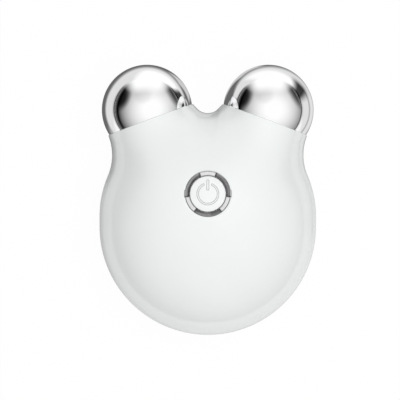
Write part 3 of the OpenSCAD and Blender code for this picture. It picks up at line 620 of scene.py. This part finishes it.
def grey_lines_finish():
    """Grey lines: a little uneven in tone, half matt."""
    f = Finish("grey_symbol_lines")
    cover = f.noise(2600, 3)
    return f.wear(
        Base_Color=f.colour(cover.ramp(0.3, 0.7), (0.33, 0.33, 0.33), (0.40, 0.40, 0.40)),
        Roughness=0.42 + 0.1 * cover)


symbol_grey = grey_lines_finish()
for name, path in (("symbol_arc", stroke[::-1]), ("symbol_bar", bar)):
    line = surface(name, closed_line(path), wrap_rows=True)
    line.data.materials.append(symbol_grey)
    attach(line, "button")


# ---- Seals, contacts and leads ------------------------------------------------------------------
# A ring of silicone rubber round each ball's neck keeps water out. A sprung strip of brass, held by a
# pan-head screw, takes the current from the ball's boss to a lead in red silicone insulation.
def grain(name, low, high, rough, scale, depth, stretch=(1, 1, 1), **constants):
    """A material led by one noise of that scale: its colour from low to high, its roughness from rough
    up by 0.2, and a relief of that depth."""
    f = Finish(name, **constants)
    n = f.noise(scale, 4, 0.6, stretch)
    return f.wear(
        Base_Color=f.colour(n.ramp(0.3, 0.7), low, high),
        Roughness=rough + 0.2 * n,
        Normal=f.bump(n, depth))


steel = grain(
    "zinc_plated_steel", (0.50, 0.51, 0.53), (0.66, 0.66, 0.67),
    rough=0.25, scale=700, depth=1e-6, Metallic=1.0)
rubber = grain(
    "seal_rubber_black", (0.020, 0.020, 0.021), (0.045, 0.045, 0.046),
    rough=0.55, scale=1500, depth=5e-6)
brass = grain(
    "brushed_brass", (0.66, 0.47, 0.21), (0.80, 0.61, 0.31),
    rough=0.2, scale=2400, depth=1e-6, stretch=(1, 0.05, 1), Metallic=1.0)
red = grain(
    "red_silicone_lead", (0.42, 0.030, 0.022), (0.52, 0.045, 0.032),
    rough=0.35, scale=900, depth=3e-6)
for side in ("left", "right"):
    coat_node(side + "_seal", rubber)
    coat_node(side + "_contact", brass)
    coat_node(side + "_lead", red)
coat_node("battery_leads", red)
coat_node("contact_screws", steel)
coat_node("board_screws", steel)


# ---- Board and its parts ------------------------------------------------------------------------
# Glass-fibre board under green solder resist: the copper tracks show through it, and its pads are
# gilt. On it sit the switch, three side lamps, the control chip, the coil and three capacitors.
CHIP_AT, CHIP_HALF, CHIP_MARK_AT, CHIP_MARK_R = (-15.0, -6.0), 3.5, 2.6, 0.35
COIL_AT, COIL_H, GROOVE_MIDDLE, GROOVE_HALF, WIRES_A_MM = (14.0, -6.0), 3.0, 2.0, 0.5, 4.0
CAN_AT, CAN_GAP, CAN_FOOT_H, CAN_H, POLE_TO = -17.0, 8.0, 0.6, 5.0, -1.0
BOARD_T, TRACK_PITCH, TRACK_HALF, PAD_R, BLUR, PAST_FACE = 1.6, 2.54, 0.21, 0.49, 0.03, 0.01


def board():
    """Green mask over tracks on a grid, laid one way or the other by a slow noise, with gilt pads at some
    crossings."""
    f = Finish("green_solder_mask", Coat_Weight=0.5, Coat_Roughness=0.15)
    x, y, z = f.axis("X"), f.axis("Y"), f.axis("Z")
    grid = [abs((v + 40 * TRACK_PITCH).do("MODULO", TRACK_PITCH) - TRACK_PITCH / 2) for v in (x, y)]
    laid, weave = f.noise(160, 1), f.noise(2600, 2, 0.5, (1, 0.2, 1))
    ways = [g.ramp(TRACK_HALF + BLUR, TRACK_HALF - BLUR) for g in grid]
    track = (ways[0] * (laid > 0.47)).do("MAXIMUM", ways[1] * (laid < 0.53))
    dot = (grid[0] ** 2.0 + grid[1] ** 2.0) ** 0.5
    outside = abs(z + BOARD_T / 2) > BOARD_T / 2 - PAST_FACE
    pad = dot.ramp(PAD_R + BLUR, PAD_R - BLUR) * outside * (laid > 0.55)
    bare = f.colour(weave, (0.010, 0.105, 0.045), (0.014, 0.13, 0.055))
    mask = f.colour(track, bare, (0.035, 0.22, 0.085))
    return f.wear(
        Base_Color=f.colour(pad, mask, (0.80, 0.58, 0.25)),
        Metallic=pad * 1.0,
        Roughness=0.35 + 0.15 * weave,
        Normal=f.bump(track + pad, 0.00003))


def chip():
    """Black epoxy, matt from the mould, on tinned pins that stand out past its sides. A round mark in
    one corner shows which way it goes."""
    f = Finish("chip_epoxy")
    x, y = f.axis("X", CHIP_AT[0]), f.axis("Y", CHIP_AT[1])
    pin = abs(x).do("MAXIMUM", abs(y)) > CHIP_HALF + PAST_FACE / 2
    grit = f.noise(5000, 3)
    mark = ((x + CHIP_MARK_AT) ** 2.0 + (y - CHIP_MARK_AT) ** 2.0) ** 0.5 < CHIP_MARK_R
    body = f.colour(mark, f.colour(grit, (0.018, 0.018, 0.019), (0.032, 0.032, 0.033)), (0.10, 0.10, 0.10))
    return f.wear(
        Base_Color=f.colour(pin, body, (0.72, 0.72, 0.70)),
        Metallic=pin * 1.0,
        Roughness=0.55 - 0.3 * pin + 0.1 * grit,
        Normal=f.bump(grit, 0.000004))


def coil():
    """Grey sintered ferrite, with turns of enamelled copper wire in the round groove in its top, each turn
    darker with painted shade where its relief is low.
    """
    f = Finish("ferrite_and_winding")
    x, y, z = f.axis("X", COIL_AT[0]), f.axis("Y", COIL_AT[1]), f.axis("Z")
    r = (x * x + y * y) ** 0.5
    wound = (abs(r - GROOVE_MIDDLE) < GROOVE_HALF + PAST_FACE) * (z < COIL_H - 2 * PAST_FACE)
    strand = (r * WIRES_A_MM).do("FRACT")
    pores = f.noise(3200, 4)
    # Painted shade: each turn of wire darker where its relief is low, next to the turn before.
    wire = f.colour(strand.ramp(0.2, 0.5), (0.28, 0.09, 0.03), (0.75, 0.33, 0.14))
    return f.wear(
        Base_Color=f.colour(wound, f.colour(pores, (0.055, 0.057, 0.060), (0.11, 0.11, 0.115)), wire),
        Metallic=0.8 * wound,
        Roughness=0.6 - 0.3 * wound + 0.1 * pores,
        Normal=f.bump(pores + 2.0 * wound * strand, 0.00001))


def cans():
    """Drawn aluminium cans on black feet. A black sector on each top marks its pole."""
    f = Finish("capacitor_can")
    x, y, z = f.axis("X"), f.axis("Y", CAN_AT), f.axis("Z")
    x = (x + 1.5 * CAN_GAP).do("MODULO", CAN_GAP) - CAN_GAP / 2
    dark = (z < CAN_FOOT_H).do("MAXIMUM", (z > CAN_H - 2 * PAST_FACE) * (x < POLE_TO))
    drawn = f.noise(2200, 3, 0.6, (1, 1, 0.08))
    can = f.colour(drawn, (0.62, 0.62, 0.63), (0.74, 0.74, 0.75))
    return f.wear(
        Base_Color=f.colour(dark, can, (0.022, 0.022, 0.024)),
        Metallic=1.0 - dark,
        Roughness=0.28 + 0.2 * dark + 0.1 * drawn,
        Normal=f.bump(drawn + 0.2 * y * (1.0 - dark), 0.000001))


switch_black = grain(
    "switch_nylon_black", (0.022, 0.022, 0.024), (0.040, 0.040, 0.042),
    rough=0.4, scale=1800, depth=3e-6)
lamp_epoxy = grain(
    "lamp_epoxy_yellow", (0.78, 0.66, 0.22), (0.88, 0.80, 0.40),
    rough=0.12, scale=1400, depth=2e-6, Coat_Weight=1.0)
coat_node("circuit_board", board())
coat_node("control_chip", chip())
coat_node("boost_coil", coil())
coat_node("capacitors", cans())
coat_node("power_switch", switch_black)
coat_node("switch_plunger", switch_black)
coat_node("indicator_leds", lamp_epoxy)


# ---- Battery ------------------------------------------------------------------------------------
# A flat lithium cell in crinkled aluminium foil, with amber tape over its tab end, on a pad of black
# foam. Its leads end in a moulded nylon plug at the side of the board.
TAPE_FROM = 18.6


def cell_foil():
    """Laminated foil with soft wide crinkles, and amber tape beyond the line where it is stuck on."""
    f = Finish("cell_foil_and_tape")
    crinkle, fine = f.noise(170, 5, 0.6), f.noise(1500, 3)
    tape = f.axis("Y") > TAPE_FROM
    foil = f.colour(crinkle.ramp(0.35, 0.65), (0.62, 0.62, 0.635), (0.76, 0.76, 0.77))
    amber = f.colour(fine, (0.52, 0.27, 0.045), (0.60, 0.33, 0.07))
    return f.wear(
        Base_Color=f.colour(tape, foil, amber),
        Metallic=1.0 - tape,
        Roughness=0.3 + 0.12 * fine - 0.1 * tape,
        Normal=f.bump(crinkle, 0.00025))


def foam():
    """Closed-cell foam: pits between the walls of small cells, of uneven grey, the pits darker with painted
    shade.
    """
    f = Finish("pad_foam_black", Sheen_Weight=0.2)
    cells = f.node("ShaderNodeTexVoronoi", None, {"Vector": f.place, "Scale": 2200.0})
    uneven = f.noise(500, 3)
    walls = f.colour(uneven, (0.05, 0.05, 0.052), (0.08, 0.08, 0.083))
    return f.wear(
        # Painted shade: darker in the pits.
        Base_Color=f.colour(cells.ramp(0.1, 0.5), (0.025, 0.025, 0.027), walls),
        Roughness=0.85 + 0.1 * uneven,
        Normal=f.bump(cells, 0.00012))


nylon = grain(
    "plug_nylon_ivory", (0.70, 0.65, 0.50), (0.78, 0.73, 0.58),
    rough=0.4, scale=1300, depth=4e-6)
coat_node("battery", cell_foil())
coat_node("battery_pad", foam())
coat_node("battery_connector", nylon)


# ---- Charging socket ----------------------------------------------------------------------------
# A drawn shell of nickel-plated steel on the lower end of the board, with a black tongue in it. Twelve
# gilt contact strips lie on each face of the tongue.
TONGUE_W, TONGUE_T, TONGUE_FRONT = 6.6, 0.7, -32.0
STRIPS, STRIP_PITCH, STRIP_HALF, STRIP_PROUD, STRIP_FROM, STRIP_TO = 12, 0.5, 0.13, 0.03, -31.5, -27.5


def socket_finish():
    """Nickel drawn along the shell's length, and black glass-filled nylon within the tongue's box."""
    f = Finish("nickel_shell_and_tongue")
    x, y, z = f.axis("X"), f.axis("Y"), f.axis("Z", SOCKET_Z)
    tongue = (abs(x) < TONGUE_W / 2 + PAST_FACE) * (abs(z) < TONGUE_T / 2 + PAST_FACE)
    tongue = tongue * (y > TONGUE_FRONT - PAST_FACE)
    drawn, grit = f.noise(1500, 4, 0.6, (1, 0.05, 1)), f.noise(4000, 2)
    nickel = f.colour(drawn, (0.56, 0.55, 0.53), (0.70, 0.69, 0.67))
    black = f.colour(grit, (0.016, 0.016, 0.017), (0.030, 0.030, 0.031))
    return f.wear(
        Base_Color=f.colour(tongue, nickel, black),
        Metallic=1.0 - tongue,
        Roughness=0.22 + 0.12 * drawn + 0.2 * tongue,
        Normal=f.bump(drawn, 0.000002))


coat_node("charging_socket", socket_finish())
gilt = grain(
    "gilt_contact", (0.74, 0.52, 0.19), (0.86, 0.64, 0.28),
    rough=0.15, scale=1600, depth=1e-6, stretch=(1, 0.1, 1), Metallic=1.0)


def contact_strip(name, x, z):
    """A flat bar along the tongue: the corners about (x, z), at each of its two ends."""
    section = np.array([[-1, -1], [1, -1], [1, 1], [-1, 1]]) * [STRIP_HALF, STRIP_PROUD] + [x, z]
    grid = np.stack([np.insert(section, 1, y, axis=1) for y in (STRIP_FROM, STRIP_TO)])
    return surface(name, grid, poles=[grid[0].mean(0), grid[1].mean(0)])


for face, name in ((1, "upper"), (-1, "lower")):
    for k in range(STRIPS):
        strip_x = (k - (STRIPS - 1) / 2) * STRIP_PITCH
        strip = contact_strip("contact_strip_%s_%d" % (name, k), strip_x, SOCKET_Z + face * TONGUE_T / 2)
        strip.data.materials.append(gilt)
        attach(strip, "housing")


# ---- Floor, light and camera --------------------------------------------------------------------
# The device lies on a white table in a white tent, under a soft lamp. As the balls mirror them, both
# table and tent have dark patches, which give the balls their crescents; in reflections the table's
# brightness is painted, with a painted shadow of the device round it. The camera looks straight down.
TABLE_W, TABLE_DOWN, SEEN_WHITE = 12, -0.00002, 0.97
bpy.ops.mesh.primitive_plane_add(size=TABLE_W, location=(0, 0, TABLE_DOWN))
floor = bpy.context.object
floor.name = "floor"
paper = Finish("white_table", Roughness=0.9)
fibre = paper.noise(900, 3)
paper.wear(Base_Color=paper.colour(fibre.ramp(0.3, 0.7), (0.88, 0.88, 0.88), (0.90, 0.90, 0.90)))
seen = paper.node("ShaderNodeLightPath", out="Is Camera Ray")
glint = paper.node("ShaderNodeLightPath", out="Is Glossy Ray")
through = paper.node("ShaderNodeLightPath", out="Is Transmission Ray")


def table_in_mirror():
    """How bright the table is in a reflection, painted by its place in millimetres: a level that is raised
    past the balls and towards the near end, times 1 less each of the dark patches: a painted shadow of the
    device close round it, lighter between the balls and stronger towards the far end, and painted dark
    patches to the right, to the upper right and far to the sides."""
    x, y = paper.axis("X"), paper.axis("Y")
    beyond = y - BALL_Y
    ahead = beyond.do("MAXIMUM", 1.0)
    past_balls = y.ramp(75.0, 115.0) * (-1.0 * x / ahead).ramp(0.62, 0.25)
    aside = (abs(x) / ahead).ramp(0.6, 1.2) * 0.88 * abs(x).ramp(140.0, 500.0)
    close_by = (((x + 12.0) / 49.0) ** 4.0 + ((y - 10.0) / 60.0) ** 4.0) ** 0.25
    slope = beyond / x.do("MAXIMUM", 1.0)
    upper_right = slope.ramp(0.15, 0.42) * slope.ramp(1.05, 0.6) * x.ramp(38.0, 70.0)
    strip = abs(x - 65.0).ramp(9.0, 2.0) * abs(y - 30.0).ramp(45.0, 25.0)
    between = abs(x - 6.0).ramp(13.0, 6.0) * abs(y - 54.0).ramp(14.0, 7.0)
    growing = 0.3 + 0.2 * y.ramp(-34.0, -18.0) + 0.5 * y.ramp(12.0, 26.0)
    # A painted shadow of the device on the table, as reflections show it.
    shade = close_by.ramp(1.22, 0.86) * (1.0 - 0.75 * between) * growing
    level = 0.80 + 0.28 * past_balls + 0.2 * y.ramp(5.0, -30.0)
    for dark in (0.82 * shade, 0.4 * strip, 0.95 * upper_right, aside):
        level = level * (1.0 - dark)
    return level


strength = seen + (1.0 - seen) * table_in_mirror()
white = paper.node("ShaderNodeEmission", None, {"Color": (1, 1, 1, 1), "Strength": strength})
share = SEEN_WHITE * seen + glint.do("MAXIMUM", through)
lit_paper = Signal(paper, paper.shader.outputs[0])
mixed = paper.node("ShaderNodeMixShader", None, {0: share, 1: lit_paper, 2: white})
paper.tree.links.new(mixed.socket, paper.tree.nodes["Material Output"].inputs["Surface"])
floor.data.materials.append(paper.material)

TENT, WALL_LEVEL, BELOW_LEVEL, HORIZON_GLOW, ROOF_MOST = 0.75, 1.12, 0.8, 0.14, 1.07
CARDS = ((0.95, 30, 97, 34, 3), (0.95, 155, 76, 30, 8), (0.13, 105, 38, 26, 6))
world = bpy.data.worlds.new("light_tent")
bpy.context.scene.world = world
world.use_nodes = True
tent = Nodes(world.node_tree)
toward = tent.node("ShaderNodeTexCoord", out="Generated")
side_x, side_y, side_z = (tent.node("ShaderNodeSeparateXYZ", None, {0: toward}, k) for k in range(3))


def card(azimuth, zenith, wide, narrow):
    """1 towards a card at that azimuth and angle from overhead, in degrees, and 0 further off than wide:
    a ramp of the direction's dot product with the card's, between the cosines of narrow and wide."""
    a, t = math.radians(azimuth), math.radians(zenith)
    x, y, z = math.cos(a) * math.sin(t), math.sin(a) * math.sin(t), math.cos(t)
    facing = side_x * x + side_y * y + side_z * z
    return facing.ramp(math.cos(math.radians(wide)), math.cos(math.radians(narrow)))


def tent_in_mirror():
    """The tent as a reflection shows it, by direction: a roof that is brightest a little to the right of
    overhead, less its cards, then a white wall beyond the balls, and an even level below."""
    middle = side_x * 0.225 + side_z * 0.974
    roof = (0.045 + 1.3 * middle - 0.217 * middle * middle).do("MAXIMUM", 0.0).do("MINIMUM", ROOF_MOST)
    for dark, *place in CARDS:
        roof = roof * (1.0 - dark * card(*place))
    roof = roof.do("MAXIMUM", HORIZON_GLOW * side_z.ramp(0.16, 0.0))
    front = side_y.do("MAXIMUM", 0.01)
    wall = (side_z / front).ramp(1.3, 0.3) * (abs(side_x - 0.02) / front).ramp(1.15, 0.35)
    lit = roof * (1.0 - wall) + WALL_LEVEL * wall
    below = side_z < 0.0
    return lit * (1.0 - below) + BELOW_LEVEL * below


def tent_on_matt():
    """The tent as matt surfaces get it: more from overhead and from both ends, and a little more from
    the far end and the left."""
    soft = 0.17 + 0.8 * side_z.do("MAXIMUM", 0.0) + 0.60 * side_y * side_y
    soft = soft + 0.05 * side_y * abs(side_y) - 0.05 * side_x * abs(side_x)
    return soft * TENT


glossy_ray = tent.node("ShaderNodeLightPath", out="Is Glossy Ray")
camera_ray = tent.node("ShaderNodeLightPath", out="Is Camera Ray")
plain = tent_on_matt()
level = plain + (tent_in_mirror() - plain) * glossy_ray.do("MAXIMUM", camera_ray)
back_light = world.node_tree.nodes["Background"]
world.node_tree.links.new(level.socket, back_light.inputs["Strength"])
back_light.inputs["Color"].default_value = (1, 1, 1, 1)

LAMP_W, LAMP_SIZE, LAMP_AT = 2.80, 0.4, (0.16, 0.0, 0.75)
lamp = bpy.data.lights.new("overhead_lamp", "AREA")
lamp.shape, lamp.size, lamp.energy = "DISK", LAMP_SIZE, LAMP_W
lamp_at = bpy.data.objects.new("overhead_lamp", lamp)
bpy.context.scene.collection.objects.link(lamp_at)
lamp_at.location = LAMP_AT
lamp_at.rotation_euler = lamp_at.location.to_track_quat("Z", "Y").to_euler()
lamp_at.visible_glossy = False

CAMERA_AWAY, HALF_WIDTH, SENSOR_W, CAMERA_X, CAMERA_Y = 1.5, 0.06285, 36.0, -0.00243, -0.00005
camera = bpy.data.objects.new("camera", bpy.data.cameras.new("camera"))
bpy.context.scene.collection.objects.link(camera)
camera.data.sensor_width = SENSOR_W
camera.data.lens = SENSOR_W / 2 * CAMERA_AWAY / HALF_WIDTH
camera.data.clip_start, camera.data.clip_end = 0.05, 20.0
camera.location = (CAMERA_X, CAMERA_Y, REST_Z * 0.001 + CAMERA_AWAY)
bpy.context.scene.camera = camera
bpy.context.scene.view_settings.view_transform = "Standard"

bpy.context.view_layer.update()
